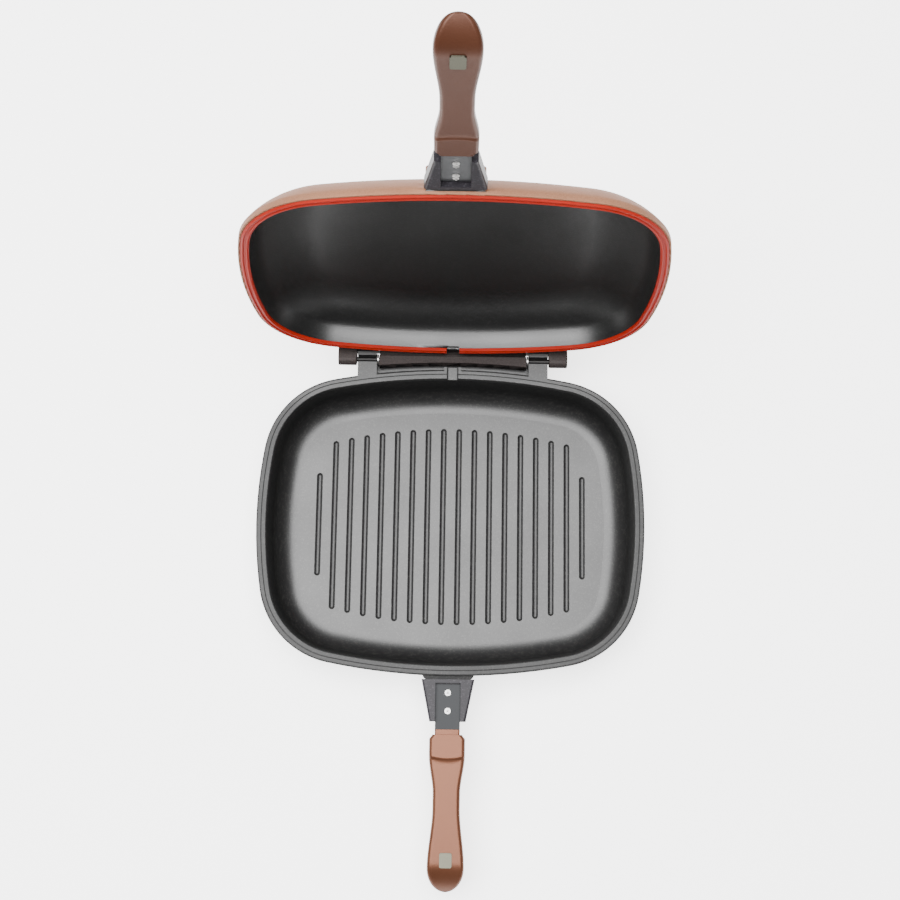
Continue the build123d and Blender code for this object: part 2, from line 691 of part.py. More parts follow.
def grip_screw(at):
    """Countersunk screw from the grip's back into the strap."""
    seat = grip_screw_seat(at)
    top = BASE_H - STRAP_DROP - GRIP_SCREW_SHORT
    up = (Align.CENTER, Align.CENTER, Align.MIN)
    head = Pos(0, 0, seat) * Cone(GRIP_SCREW_HEAD_R, GRIP_SCREW_R, GRIP_SCREW_HEAD_H, align=up)
    shank = Pos(0, 0, seat) * Cylinder(GRIP_SCREW_R, top - seat, align=up)
    return Pos(0, out(at), 0) * (head + shank - Pos(0, 0, seat) * cross_recess(GRIP_SCREW_HEAD_R))


def grip_screw_hole(at):
    """Shank hole, countersink and counterbore in the grip."""
    head_r = GRIP_SCREW_HEAD_R + SCREW_FIT
    shank_r = GRIP_SCREW_R + SCREW_FIT
    seat = grip_screw_seat(at)
    up = (Align.CENTER, Align.CENTER, Align.MIN)
    down = (Align.CENTER, Align.CENTER, Align.MAX)
    hole = Cone(head_r, shank_r, GRIP_SCREW_HEAD_H, align=up)
    hole += Cylinder(shank_r, BASE_H - STRAP_DROP - seat, align=up)
    hole += Cylinder(head_r, BULB_THICK, align=down)
    return Pos(0, out(at), seat) * hole


def strap_pocket():
    """Slot for the strap through the neck and on into the grip."""
    fit = STRAP_FIT
    top = BASE_H - STRAP_DROP
    low = top - STRAP_T
    half = STRAP_TANG_W / 2 + fit
    return box(-half, half, out(STRAP_TO + fit), out(NECK_FROM - 1), low, top)


def grip():
    """Moulded grip: its inner face is sunk beyond the collar."""
    body = grip_body() + grip_neck()
    sunk = GRIP_FACE_Z - FACE_SUNK
    body -= profile_x([
        (out(COLLAR_TO), GRIP_FACE_Z + 1), (out(COLLAR_TO), GRIP_FACE_Z),
        (out(COLLAR_TO + 1.5 * FACE_SUNK), sunk), (out(GRIP_TO + 1), sunk),
        (out(GRIP_TO + 1), GRIP_FACE_Z + 1),
    ], -2 * BULB_HALF, 2 * BULB_HALF)
    body = body - strap_pocket() - magnet_pocket(MAGNET_FIT)
    return body - [grip_screw_hole(at) for at in GRIP_SCREW_AT]


# --- Pieces ----------------------------------------------------------------------------------
def lower_and_upper(name, pieces):
    """A handle piece and the upper pan's mirrored copy of it."""
    return {
        "base_" + name: pieces,
        "lid_" + name: [opened(mirrored(piece)) for piece in pieces],
    }


def all_nodes():
    nodes = {
        "base_pan": [base_pan()],
        "lid_pan": [opened(lid_pan())],
        "lid_gasket": [opened(lid_gasket())],
        "hinge_plugs": [opened(plug) for plug in both_sides(hinge_plug())],
        "hinge_pin_right": [hinge_pin()],
        "hinge_pin_left": [mirror(hinge_pin(), about=Plane.YZ)],
        "hinge_washers": both_sides(hinge_washer()),
    }
    nodes |= lower_and_upper("bracket", [bracket()])
    nodes |= lower_and_upper("strap", [strap()])
    nodes |= lower_and_upper("strap_screws", [strap_screw(at) for at in SCREW_AT])
    nodes |= lower_and_upper("grip", [grip()])
    nodes |= lower_and_upper("grip_screws", [grip_screw(at) for at in GRIP_SCREW_AT])
    nodes |= lower_and_upper("magnet", [magnet_pocket(0)])
    return nodes


os.makedirs("parts", exist_ok=True)
for name, pieces in all_nodes().items():
    solids = [solid for piece in pieces for solid in piece.solids()]
    export_step(Compound(children=solids), os.path.join("parts", name + ".step"))
    print(name, len(solids), "solid(s)", round(sum(solid.volume for solid in solids)), "mm3")
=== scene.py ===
import math

import bmesh
import bpy
from mathutils import Matrix, Vector


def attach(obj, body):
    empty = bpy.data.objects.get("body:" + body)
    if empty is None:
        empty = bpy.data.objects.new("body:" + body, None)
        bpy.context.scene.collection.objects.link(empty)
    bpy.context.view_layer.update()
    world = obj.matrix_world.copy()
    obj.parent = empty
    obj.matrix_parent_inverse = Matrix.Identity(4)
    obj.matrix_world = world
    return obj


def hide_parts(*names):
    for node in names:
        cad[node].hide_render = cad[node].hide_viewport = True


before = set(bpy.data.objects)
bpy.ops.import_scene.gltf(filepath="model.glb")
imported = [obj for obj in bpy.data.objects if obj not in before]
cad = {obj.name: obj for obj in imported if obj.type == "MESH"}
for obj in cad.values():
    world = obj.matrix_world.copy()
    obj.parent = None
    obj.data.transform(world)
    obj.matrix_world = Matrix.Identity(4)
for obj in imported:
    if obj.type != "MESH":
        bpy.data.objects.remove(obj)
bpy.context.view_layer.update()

# --- Camera ----------------------------------------------------------------------------------
# A 57 mm lens looks almost straight down from a metre above, a little in front of the handles'
# side, so the lower pan is seen square on and the open upper pan is seen along its inside.
CAMERA_PLACE = (-0.00118, -0.1465, 1.180)
CAMERA_TILT = 0.1770        # away from straight down, towards the hinge
CAMERA_ROLL = 0.0152
CAMERA_LENS = 57.36

camera = bpy.data.objects.new("camera", bpy.data.cameras.new("camera"))
camera.data.lens = CAMERA_LENS
camera.data.sensor_width = 36.0
camera.matrix_world = (
    Matrix.Translation(CAMERA_PLACE)
    @ Matrix.Rotation(CAMERA_TILT, 4, "X")
    @ Matrix.Rotation(CAMERA_ROLL, 4, "Z")
)
bpy.context.scene.collection.objects.link(camera)
bpy.context.scene.camera = camera


# --- Lower pan -------------------------------------------------------------------------------
# One die casting in aluminium: grooved rim, steep walls, a floor with fat channels, open hooks
# for the hinge and a lug for the handle.  It is coated all over in charcoal non-stick.
class Wire:
    """A socket in a finish or in a tree of Geometry Nodes.  Sums on wires add Math nodes."""

    def __init__(self, socket):
        self.socket = socket

    def node(self, kind, settings=None, inputs=None, output=0):
        """Add a node beside this one: its settings first, then values or wires for its sockets."""
        full_kind = kind if kind.startswith("Geometry") else "ShaderNode" + kind
        made = self.socket.id_data.nodes.new(full_kind)
        for name, value in (settings or {}).items():
            setattr(made, name, value)
        for name, value in (inputs or {}).items():
            if isinstance(value, Wire):
                self.socket.id_data.links.new(value.socket, made.inputs[name])
            else:
                made.inputs[name].default_value = value
        return Wire(made.outputs[output] if made.outputs else made.inputs[0])

    def sum(self, operation, first, second):
        """A Math node on two wires or numbers."""
        return self.node("Math", {"operation": operation}, {0: first, 1: second})

    def __add__(self, other):
        return self.sum("ADD", self, other)

    def __sub__(self, other):
        return self.sum("SUBTRACT", self, other)

    def __rsub__(self, other):
        return self.sum("SUBTRACT", other, self)

    def __mul__(self, other):
        return self.sum("MULTIPLY", self, other)

    def __truediv__(self, other):
        return self.sum("DIVIDE", self, other)

    def __pow__(self, other):
        return self.sum("POWER", self, other)

    def parts(self):
        """The three numbers of a vector."""
        split = self.node("SeparateXYZ", None, {0: self}).socket.node
        return [Wire(output) for output in split.outputs]

    def between(self, low, high):
        """0 below low, 1 above high, smooth in between."""
        return self.node("MapRange", {"interpolation_type": "SMOOTHSTEP"},
                         {"Value": self, "From Min": low, "From Max": high})

    def colour(self, low, high):
        """The colour low where this wire is 0 and high where it is 1."""
        return self.node("Mix", {"data_type": "RGBA"},
                         {0: self, 6: (*low, 1.0), 7: (*high, 1.0)}, 2)

    def noise(self, size, detail=3.0):
        """Soft noise whose grains are about size metres across."""
        return self.node("TexNoise", None, {"Vector": self, "Scale": 1 / size, "Detail": detail})

    def cells(self, size):
        """A random shade for each small cell about size metres across."""
        cell = self.node("TexVoronoi", None, {"Vector": self, "Scale": 1 / size}, "Color")
        return cell.node("SeparateColor", None, {"Color": cell})

    def bump(self, height, depth, under=None):
        """Relief of depth metres, on top of an earlier relief if there is one."""
        inputs = {"Height": height, "Distance": depth, "Strength": 1.0}
        if under:
            inputs["Normal"] = under
        return self.node("Bump", None, inputs)


def start_finish(name):
    """A new material, and the place on the piece in metres as a wire."""
    material = bpy.data.materials.new(name)
    material.use_nodes = True
    material.node_tree.nodes.clear()
    place = material.node_tree.nodes.new("ShaderNodeTexCoord")
    return material, Wire(place.outputs["Object"])


def end_finish(surface, **inputs):
    """Close a finish with its Principled surface."""
    named = {key.replace("_", " "): value for key, value in inputs.items()}
    shader = surface.node("BsdfPrincipled", None, named)
    surface.node("OutputMaterial", None, {"Surface": shader})


CHARCOAL = (0.0055, 0.0055, 0.0058)
CHARCOAL_FLECK = (0.024, 0.0235, 0.022)
# Pairs of places between which a part of the casting begins, in metres.
LAND_BEGINS = (0.0043, 0.0060)     # height: the floor's lands, above the fat channels
GROOVE_BEGINS = (0.0400, 0.0420)   # height: the rim's groove and its vent
RIM_BEGINS = (0.0443, 0.0449)      # height: top face of the rim
REAR_BEGINS = (0.085, 0.112)       # depth: rim next to the hinge
VENT_ENDS = (0.0030, 0.0045)       # half width of the vent


def nonstick_finish(name, dark=CHARCOAL, fleck=CHARCOAL_FLECK, gloss=0.42, shine=0.5, cut=False):
    """Sprayed non-stick coating: fine flecks, slight orange peel, rubbed unevenly.

    With cut, the channels and the rim's groove are rougher, and the rear rim is rubbed smooth.
    """
    material, place = start_finish(name)
    flecks = place.cells(0.0009).between(0.72, 0.98)
    cloud = place.noise(0.045, 2.0)
    peel = place.noise(0.0018, 2.0)
    relief = place.bump(peel, 0.00004)
    relief = place.bump(place.cells(0.0008), 0.000012, relief)
    colour = (flecks * 0.8 + cloud * 0.15).colour(dark, fleck)
    rough = cloud * 0.10 + peel * 0.06 + (gloss - 0.08)
    if cut:
        across, depth, height = place.parts()
        right, left = across.between(*VENT_ENDS), (across * -1.0).between(*VENT_ENDS)
        vent = (1.0 - right) * (1.0 - left)
        rear = depth.between(*REAR_BEGINS)
        channel = 1.0 - height.between(*LAND_BEGINS)
        rim = height.between(*RIM_BEGINS)
        groove = height.between(*GROOVE_BEGINS) - rim
        rough = rough + channel * 0.12 + groove * (1.0 - vent * rear) * 0.45
        rough = rough + rim * (1.0 - rear * 0.8) * 0.20
    end_finish(
        place,
        Base_Color=colour,
        Roughness=rough,
        Normal=relief,
        IOR=1.5,
        Specular_IOR_Level=shine,
    )
    return material


def coat(node, material):
    """Give a CAD node its finish."""
    mesh = cad[node].data
    mesh.materials.clear()
    mesh.materials.append(material)


coat("base_pan", nonstick_finish("nonstick_charcoal", shine=0.62, cut=True))

# --- Upper pan -------------------------------------------------------------------------------
# The shallower casting, with the hinge's bar, beam and knuckles.  Inside it has a smoother
# non-stick, painted darker than the lower pan's as painted shade; outside it is sprayed in bronze
# metallic, and the hinge below the beam gets a darker copy of the bronze as painted shade.
HINGE_Y, HINGE_Z = 0.1306, 0.0437
OPEN_ANGLE = math.radians(100.9)
UPPER_RIM_Z = 0.0466          # the upper rim's face when shut
BEAM_Z = 0.0512               # underside of the hinge's beam when shut
REAR_EDGE_Y = 0.1235

to_hinge = Matrix.Translation((0, HINGE_Y, HINGE_Z))
OPENED = to_hinge @ Matrix.Rotation(-OPEN_ANGLE, 4, "X") @ to_hinge.inverted()
SHUT = OPENED.inverted()


def bronze_finish(name, deep, light, metal=0.22):
    """Metallic paint: small flakes under a satin lacquer."""
    material, place = start_finish(name)
    flakes = place.cells(0.00045)
    cloud = place.noise(0.06, 2.0)
    relief = place.bump(flakes, 0.00002)
    relief = place.bump(place.noise(0.0025, 2.0), 0.00005, relief)
    end_finish(
        place,
        Base_Color=(flakes * 0.6 + cloud * 0.3).colour(deep, light),
        Metallic=metal,
        Roughness=cloud * 0.10 + flakes * 0.05 + 0.52,
        Normal=relief,
        Specular_IOR_Level=0.15,
    )
    return material


def crisp(mesh, angle=0.6):
    """Smooth shading, with an edge wherever two faces meet at more than the angle."""
    mesh.shade_smooth()
    mesh.set_sharp_from_angle(angle=angle)


def add_piece(name, mesh, body, nodes=()):
    """Put a finished mesh in the scene on its body, in place of its CAD nodes."""
    piece = bpy.data.objects.new(name, mesh)
    bpy.context.scene.collection.objects.link(piece)
    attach(piece, body)
    if nodes:
        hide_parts(*nodes)
    return piece


upper = bmesh.new()
upper.from_mesh(cad["lid_pan"].data)
bmesh.ops.remove_doubles(upper, verts=upper.verts, dist=1e-6)
turn = SHUT.to_3x3()
OUTSIDE, INSIDE, HINGE_SHADE = range(3)
for face in upper.faces:
    x, y, z = SHUT @ face.calc_center_median()
    facing = turn @ face.normal
    outward = facing.x * x + facing.y * y + facing.z * (z - UPPER_RIM_Z)
    face.material_index = OUTSIDE if outward > -1e-4 else INSIDE
    if y > REAR_EDGE_Y or z < UPPER_RIM_Z - 0.0005:
        # Below the beam the hinge gets the darker copy of the bronze, painted shade.
        face.material_index = HINGE_SHADE if z < BEAM_Z - 0.0001 or y > 0 > facing.z else OUTSIDE
upper_mesh = bpy.data.meshes.new("upper_pan")
upper.to_mesh(upper_mesh)
upper.free()
for finish in (
    bronze_finish("bronze_metallic", (0.20, 0.092, 0.052), (0.30, 0.150, 0.088)),
    # Darker than the lower pan's non-stick: painted shade on the open pan's inside.
    nonstick_finish("nonstick_upper_painted_shade", (0.0042, 0.0043, 0.0043), (0.012, 0.012, 0.0118),
                    gloss=0.36, shine=0.62),
    # A darker copy of the bronze: painted shade on the hinge's bar and knuckles.
    bronze_finish("bronze_painted_shade", (0.022, 0.018, 0.0175), (0.055, 0.045, 0.043), 0.3),
):
    upper_mesh.materials.append(finish)
crisp(upper_mesh)
add_piece("upper_pan", upper_mesh, "lid", ["lid_pan"])

# --- Gasket ----------------------------------------------------------------------------------
# One extruded ring of red silicone: a flange that lies in the upper rim, a foot pressed into
# the groove behind it, and two soft lips that seal on the lower rim.  It is cut at the vent.
HALF_WIDTH, HALF_DEPTH = 0.155, 0.123
LONG_BOW_R, SHORT_BOW_R, CORNER_R = 0.500, 0.345, 0.069
RIM_W, LIP_W = 0.0079, 0.0016
GASKET_GAP = 0.0106


def rim_line(inset, open_at_vent=0.0):
    """The rim's outline, inset, from right of the vent round to left of it."""
    long_centre = Vector((0, HALF_DEPTH - LONG_BOW_R))
    short_centre = Vector((HALF_WIDTH - SHORT_BOW_R, 0))
    reach_long, reach_short = LONG_BOW_R - CORNER_R, SHORT_BOW_R - CORNER_R
    span = short_centre - long_centre
    along = (reach_long ** 2 - reach_short ** 2 + span.length_squared) / (2 * span.length)
    aside = math.sqrt(reach_long ** 2 - along ** 2)
    unit = span.normalized()
    corner = long_centre + along * unit + aside * Vector((-unit.y, unit.x))
    if corner.x < 0 or corner.y < 0:
        corner -= 2 * aside * Vector((-unit.y, unit.x))

    def bearing(centre):
        return math.atan2(corner.y - centre.y, corner.x - centre.x)

    def arc(centre, radius, start, stop, steps):
        return [(centre.x + radius * math.cos(start + (stop - start) * i / steps),
                 centre.y + radius * math.sin(start + (stop - start) * i / steps))
                for i in range(steps)]

    top = math.pi / 2 - math.asin(open_at_vent / 2 / (LONG_BOW_R - inset))
    quarter = arc(long_centre, LONG_BOW_R - inset, top, bearing(long_centre), 24)
    quarter += arc(corner, CORNER_R - inset, bearing(long_centre), bearing(short_centre), 32)
    quarter += arc(short_centre, SHORT_BOW_R - inset, bearing(short_centre), 0, 16)
    quarter.append((HALF_WIDTH - inset, 0))
    front = arc(long_centre, LONG_BOW_R - inset, math.pi / 2, bearing(long_centre), 24)
    front += quarter[24:]
    right = quarter + [(x, -y) for x, y in front[-2::-1]]
    return right + [(-x, y) for x, y in right[-2::-1]]


def make_tree(name, inputs):
    """An empty tree of Geometry Nodes with named inputs."""
    tree = bpy.data.node_groups.new(name, "GeometryNodeTree")
    tree.interface.new_socket("Geometry", in_out="INPUT", socket_type="NodeSocketGeometry")
    for label, kind in inputs.items():
        tree.interface.new_socket(label, in_out="INPUT", socket_type="NodeSocket" + kind)
    tree.interface.new_socket("Geometry", in_out="OUTPUT", socket_type="NodeSocketGeometry")
    source = tree.nodes.new("NodeGroupInput")
    return tree, {output.name: Wire(output) for output in source.outputs if output.name}


def end_tree(tree, shape, material):
    """Realize the shape, give it its material and close the tree."""
    shape = shape.node("GeometryNodeRealizeInstances", None, {0: shape})
    shape = shape.node("GeometryNodeSetMaterial", None, {0: shape, "Material": material})
    tree.links.new(shape.socket, tree.nodes.new("NodeGroupOutput").inputs[0])


def run_tree(tree, seed_mesh, values, name):
    """Evaluate a tree on a seed mesh with the given inputs, and keep the plain result."""
    carrier = bpy.data.objects.new(name + "_carrier", seed_mesh)
    bpy.context.scene.collection.objects.link(carrier)
    modifier = carrier.modifiers.new("tree", "NODES")
    modifier.node_group = tree
    for item in tree.interface.items_tree:
        if item.in_out == "INPUT" and item.name in values:
            modifier[item.identifier] = values[item.name]
    made = carrier.evaluated_get(bpy.context.evaluated_depsgraph_get())
    mesh = bpy.data.meshes.new_from_object(made)
    mesh.name = name
    bpy.data.objects.remove(carrier)
    return mesh


def silicone_finish(name):
    """Satin silicone with a faint bloom."""
    material, place = start_finish(name)
    cloud = place.noise(0.02, 2.0)
    relief = place.bump(place.noise(0.0008, 2.0), 0.00002)
    end_finish(
        place,
        Base_Color=cloud.colour((0.235, 0.0085, 0.0030), (0.285, 0.0125, 0.0045)),
        Roughness=cloud * 0.15 + 0.42,
        Normal=relief,
        Specular_IOR_Level=0.10,
    )
    return material


gasket_tree, feed = make_tree("gasket_sweep", {
    "Flange Width": "Float", "Flange Height": "Float", "Foot Width": "Float",
    "Foot Height": "Float", "Lip Radius": "Float", "Lip Inset": "Float", "Lip Drop": "Float",
    "Hinge Place": "Vector", "Turned": "Vector", "Silicone": "Material"})


def bar_section(width, height, rise, round_r):
    """Rounded bar whose middle is at rise above the seat; the sweep turns Y downwards."""
    bar = feed["Geometry"].node("GeometryNodeCurvePrimitiveQuadrilateral", None,
                                {"Width": width, "Height": height})
    bar = bar.node("GeometryNodeFilletCurve", {"mode": "POLY"},
                   {0: bar, "Radius": round_r, "Count": 4})
    shift = bar.node("CombineXYZ", None, {"Y": rise * -1.0})
    return bar.node("GeometryNodeTransform", None, {0: bar, "Translation": shift})


def lip_section(side):
    """Round lip, near the inner or the outer edge of the flange."""
    lip = feed["Geometry"].node("GeometryNodeCurvePrimitiveCircle", None,
                                {"Resolution": 20, "Radius": feed["Lip Radius"]})
    aside = (feed["Flange Width"] * 0.5 - feed["Lip Inset"]) * side
    shift = lip.node("CombineXYZ", None, {"X": aside, "Y": feed["Lip Drop"]})
    return lip.node("GeometryNodeTransform", None, {0: lip, "Translation": shift})


def joined(wires):
    """Join pieces of geometry."""
    join = wires[0].node("GeometryNodeJoinGeometry")
    for wire in wires:
        join.socket.id_data.links.new(wire.socket, join.socket.node.inputs[0])
    return join


profile = joined([
    bar_section(feed["Flange Width"], feed["Flange Height"], feed["Flange Height"] * -0.5, 0.0003),
    bar_section(feed["Foot Width"], feed["Foot Height"], feed["Foot Height"] * 0.5, 0.0002),
    lip_section(1.0), lip_section(-1.0),
])
path = feed["Geometry"].node("GeometryNodeMeshToCurve", None, {0: feed["Geometry"]})
path = path.node("GeometryNodeSetCurveNormal", {"mode": "Z_UP"}, {0: path})
ring = path.node("GeometryNodeCurveToMesh", None,
                 {0: path, "Profile Curve": profile, "Fill Caps": True})
back = feed["Hinge Place"].node("VectorMath", {"operation": "SCALE"},
                                {0: feed["Hinge Place"], "Scale": -1.0})
ring = ring.node("GeometryNodeTransform", None, {0: ring, "Translation": back})
ring = ring.node("GeometryNodeTransform", None, {
    0: ring, "Translation": feed["Hinge Place"], "Rotation": feed["Turned"]})
end_tree(gasket_tree, ring, feed["Silicone"])

SEAT_Z = UPPER_RIM_Z + 0.0012
GASKET_OUTER = LIP_W + 0.00005
gasket_line = rim_line((GASKET_OUTER + RIM_W) / 2, GASKET_GAP)
gasket_path = bpy.data.meshes.new("gasket_path")
gasket_path.from_pydata([(x, y, SEAT_Z) for x, y in gasket_line],
                        [(i, i + 1) for i in range(len(gasket_line) - 1)], [])
gasket_mesh = run_tree(gasket_tree, gasket_path, {
    "Flange Width": RIM_W - GASKET_OUTER, "Flange Height": 0.0017, "Foot Width": 0.0029,
    "Foot Height": 0.0029, "Lip Radius": 0.001, "Lip Inset": 0.0015, "Lip Drop": 0.0015,
    "Hinge Place": (0, HINGE_Y, HINGE_Z), "Turned": (-OPEN_ANGLE, 0, 0),
    "Silicone": silicone_finish("silicone_red")}, "gasket")
crisp(gasket_mesh)
add_piece("gasket", gasket_mesh, "lid", ["lid_gasket"])

# --- Hinge fittings --------------------------------------------------------------------------
# Two short steel pins lie in the lower pan's open hooks and are held in the upper pan's
# knuckles by pressed plugs, with a thin washer between bar and hook on each side.
def steel_finish(name, light, dark, gloss, metal=1.0, shine=0.5):
    """Metal with fine turning marks and a little tarnish."""
    material, place = start_finish(name)
    cloud = place.noise(0.004, 3.0)
    relief = place.bump(place.noise(0.0007, 3.0), 0.00002)
    end_finish(
        place,
        Base_Color=cloud.colour(dark, light),
        Metallic=metal,
        Roughness=cloud * 0.15 + gloss,
        Normal=relief,
        Specular_IOR_Level=shine,
    )
    return material


pin_steel = steel_finish("blackened_steel", (0.035, 0.034, 0.034), (0.015, 0.015, 0.015), 0.42)
for name in ("hinge_pin_left", "hinge_pin_right"):
    coat(name, pin_steel)
coat("hinge_washers", steel_finish("washer_steel", (0.55, 0.54, 0.53), (0.40, 0.39, 0.38), 0.3))
coat("hinge_plugs", steel_finish("plug_steel", (0.10, 0.09, 0.085), (0.05, 0.045, 0.042), 0.4))

# --- Brackets and straps ---------------------------------------------------------------------
# Each handle starts with a die cast saddle, coated charcoal, on the pan's tongue.  A pressed
# steel strap lies in its channel and runs on into the grip; the upper one is painted paler, as
# painted light for the sheen on its upright face.
enamel = nonstick_finish("bracket_enamel", (0.014, 0.0125, 0.0155), (0.034, 0.031, 0.037),
                         gloss=0.40, shine=0.17)
STRAPS = {
    "base": steel_finish("strap_steel", (0.032, 0.033, 0.035), (0.020, 0.021, 0.022),
                         gloss=0.38, metal=0.25, shine=0.10),
    # The upper strap is painted paler: painted light for the sheen on its upright face.
    "lid": steel_finish("strap_steel_painted_light", (0.095, 0.097, 0.100), (0.062, 0.063, 0.065),
                        gloss=0.30, metal=0.5),
}
for pan in ("base", "lid"):
    coat(pan + "_bracket", enamel)
    coat(pan + "_strap", STRAPS[pan])

# --- Strap screws ----------------------------------------------------------------------------
# Two bright round head screws with a cross recess clamp each strap and bracket to the tongue.
RIM_Z = 0.045
STRAP_TOP_Z = 0.0395
TONGUE_TOP_Z = 0.034
SCREW_AT = (0.0129, 0.0270)   # from the front rim edge
SCREW_IN = 0.0060             # how far the screws run into the tongue

screw_tree, feed = make_tree("round_head_screws", {
    "Head Radius": "Float", "Head Height": "Float", "Shank Radius": "Float",
    "Shank Length": "Float", "Recess Width": "Float", "Recess Depth": "Float",
    "Turned": "Vector", "Steel": "Material"})
head = feed["Geometry"].node(
    "GeometryNodeMeshCylinder", {"fill_type": "TRIANGLE_FAN"},
    {"Vertices": 40, "Side Segments": 1, "Fill Segments": 8, "Radius": feed["Head Radius"],
     "Depth": 0.0006})
x, y, z = head.node("GeometryNodeInputPosition").parts()
dome_r = (feed["Head Radius"] ** 2.0 + feed["Head Height"] ** 2.0) / (feed["Head Height"] * 2.0)
inside = dome_r ** 2.0 - x * x - y * y
rise = inside.sum("MAXIMUM", inside, 0.0) ** 0.5 - (dome_r - feed["Head Height"])
lifted = rise.node("CombineXYZ", None, {"Z": rise})
above = z.node("Math", {"operation": "GREATER_THAN"}, {0: z, 1: 0.0})
head = head.node("GeometryNodeSetPosition", None, {0: head, "Selection": above, "Offset": lifted})
slots = []
for swap in (False, True):
    long, short = feed["Head Radius"] * 1.2, feed["Recess Width"]
    across, down = (short, long) if swap else (long, short)
    size = long.node("CombineXYZ", None,
                     {"X": across, "Y": down, "Z": feed["Recess Depth"] * 2.0})
    slot_box = size.node("GeometryNodeMeshCube", None, {"Size": size})
    up = size.node("CombineXYZ", None, {"Z": feed["Head Height"]})
    slots.append(slot_box.node("GeometryNodeTransform", None, {0: slot_box, "Translation": up}))
head = head.node("GeometryNodeMeshBoolean", {"operation": "DIFFERENCE"},
                 {"Mesh 1": head, "Mesh 2": joined(slots)})
shank = head.node("GeometryNodeMeshCylinder", None,
                  {"Vertices": 24, "Radius": feed["Shank Radius"], "Depth": feed["Shank Length"]})
drop = shank.node("CombineXYZ", None, {"Z": feed["Shank Length"] * -0.5})
shank = shank.node("GeometryNodeTransform", None, {0: shank, "Translation": drop})
screws = head.node("GeometryNodeInstanceOnPoints", None, {
    "Points": feed["Geometry"], "Instance": joined([head, shank]), "Rotation": feed["Turned"]})
end_tree(screw_tree, screws, feed["Steel"])

screw_steel = steel_finish("screw_steel", (0.60, 0.59, 0.58), (0.46, 0.45, 0.44), 0.28, 0.6)
MIRROR_Z = RIM_Z + 0.0008     # half way between the two rims when shut
MIRRORED = OPENED @ Matrix.Translation((0, 0, 2 * MIRROR_Z)) @ Matrix.Diagonal((1, 1, -1, 1))
for pan, body, place, turned in (
    ("base", "base", Matrix.Identity(4), 0.0),
    ("lid", "lid", MIRRORED, math.pi - OPEN_ANGLE),
):
    seats = bpy.data.meshes.new(pan + "_screw_seats")
    seats.from_pydata([place @ Vector((0, -HALF_DEPTH - at, STRAP_TOP_Z)) for at in SCREW_AT],
                      [], [])
    screw_mesh = run_tree(screw_tree, seats, {
        "Head Radius": 0.0034, "Head Height": 0.0027, "Shank Radius": 0.0024,
        "Shank Length": STRAP_TOP_Z - TONGUE_TOP_Z + SCREW_IN, "Recess Width": 0.0008,
        "Recess Depth": 0.001, "Turned": (turned, 0, 0), "Steel": screw_steel},
        pan + "_screws")
    crisp(screw_mesh, 0.5)
    add_piece(pan + "_screws", screw_mesh, body, [pan + "_strap_screws"])
    coat(pan + "_grip_screws", screw_steel)

# --- Grips and magnets -----------------------------------------------------------------------
# Two alike mouldings in heat-proof plastic, flat where they meet when shut, waisted, with a bulb
# at the end; the upper one is painted a darker brown as painted shade.  A raised collar ends in a
# shallow arch, a magnet plate lies in the bulb's face, and two countersunk screws in the back hold
# the strap.
GRIP_FROM, GRIP_TO = 0.0452, 0.1646        # from the front rim edge
NECK_FROM = 0.0412
COLLAR_TO, COLLAR_HALF, COLLAR_THICK = 0.0606, 0.0140, 0.0155
WAIST_FROM, WAIST_TO, WAIST_HALF, WAIST_THICK = 0.0900, 0.1010, 0.0106, 0.0132
BULB_AT, BULB_HALF, BULB_THICK = 0.1456, 0.0143, 0.0220
TIP_DROP, FACE_BEND = 0.0140, 0.1418
COLLAR_CUT = 0.0022            # corners cut off the collar where the neck comes out
COLLAR_ARCH = 0.0022           # rise of the arch at the end of the collar
FACE_SUNK = 0.0010
STEP = 0.0030                  # length of the step from collar to face
FACE_Z = MIRROR_Z - 0.00015
SHOULDER = 0.0030
MAGNET_AT, MAGNET_W, MAGNET_L, MAGNET_T = 0.1396, 0.0095, 0.0112, 0.0050
MAGNET_FIT, MAGNET_CORNER_R = 0.00005, 0.0015
NECK_IN = 0.0020               # how far the neck runs into the moulding
NECK_HALF, NECK_UNDER, NECK_OVER, NECK_ROUND_R = 0.00975, 0.0049, 0.0024, 0.0012
SLOT_FROM, SLOT_TO = 0.0400, 0.1101        # the strap's slot, from the front rim edge
SLOT_HALF, SLOT_DEEP, SLOT_ROUND_R = 0.0061, 0.0025, 0.0002
GRIP_SCREW_AT = (0.074, 0.102)
GRIP_SCREW_HEAD_R, GRIP_SCREW_R = 0.0039, 0.0020
GRIP_SCREW_SUNK, GRIP_SCREW_CONE = 0.0006, 0.0022
BACK_PAST, FACE_PAST = 0.020, 0.003        # how far cutters stand out of the moulding
OVERLAP = 0.00005              # between the cutters of one screw hole


def ease(u):
    """Smooth step from 0 to 1."""
    u = min(max(u, 0.0), 1.0)
    return u * u * (3 - 2 * u)


def grip_size(t):
    """Half width and thickness of the grip at a distance from the rim."""
    if t < WAIST_FROM:
        k = ease((WAIST_FROM - t) / (WAIST_FROM - COLLAR_TO))
        half, thick = COLLAR_HALF, COLLAR_THICK
    else:
        k = ease((t - WAIST_TO) / (BULB_AT - WAIST_TO))
        half, thick = BULB_HALF, BULB_THICK
    half = WAIST_HALF + k * (half - WAIST_HALF)
    half -= COLLAR_CUT * (1 - ease((t - GRIP_FROM) / 0.0035))
    return half, WAIST_THICK + k * (thick - WAIST_THICK)


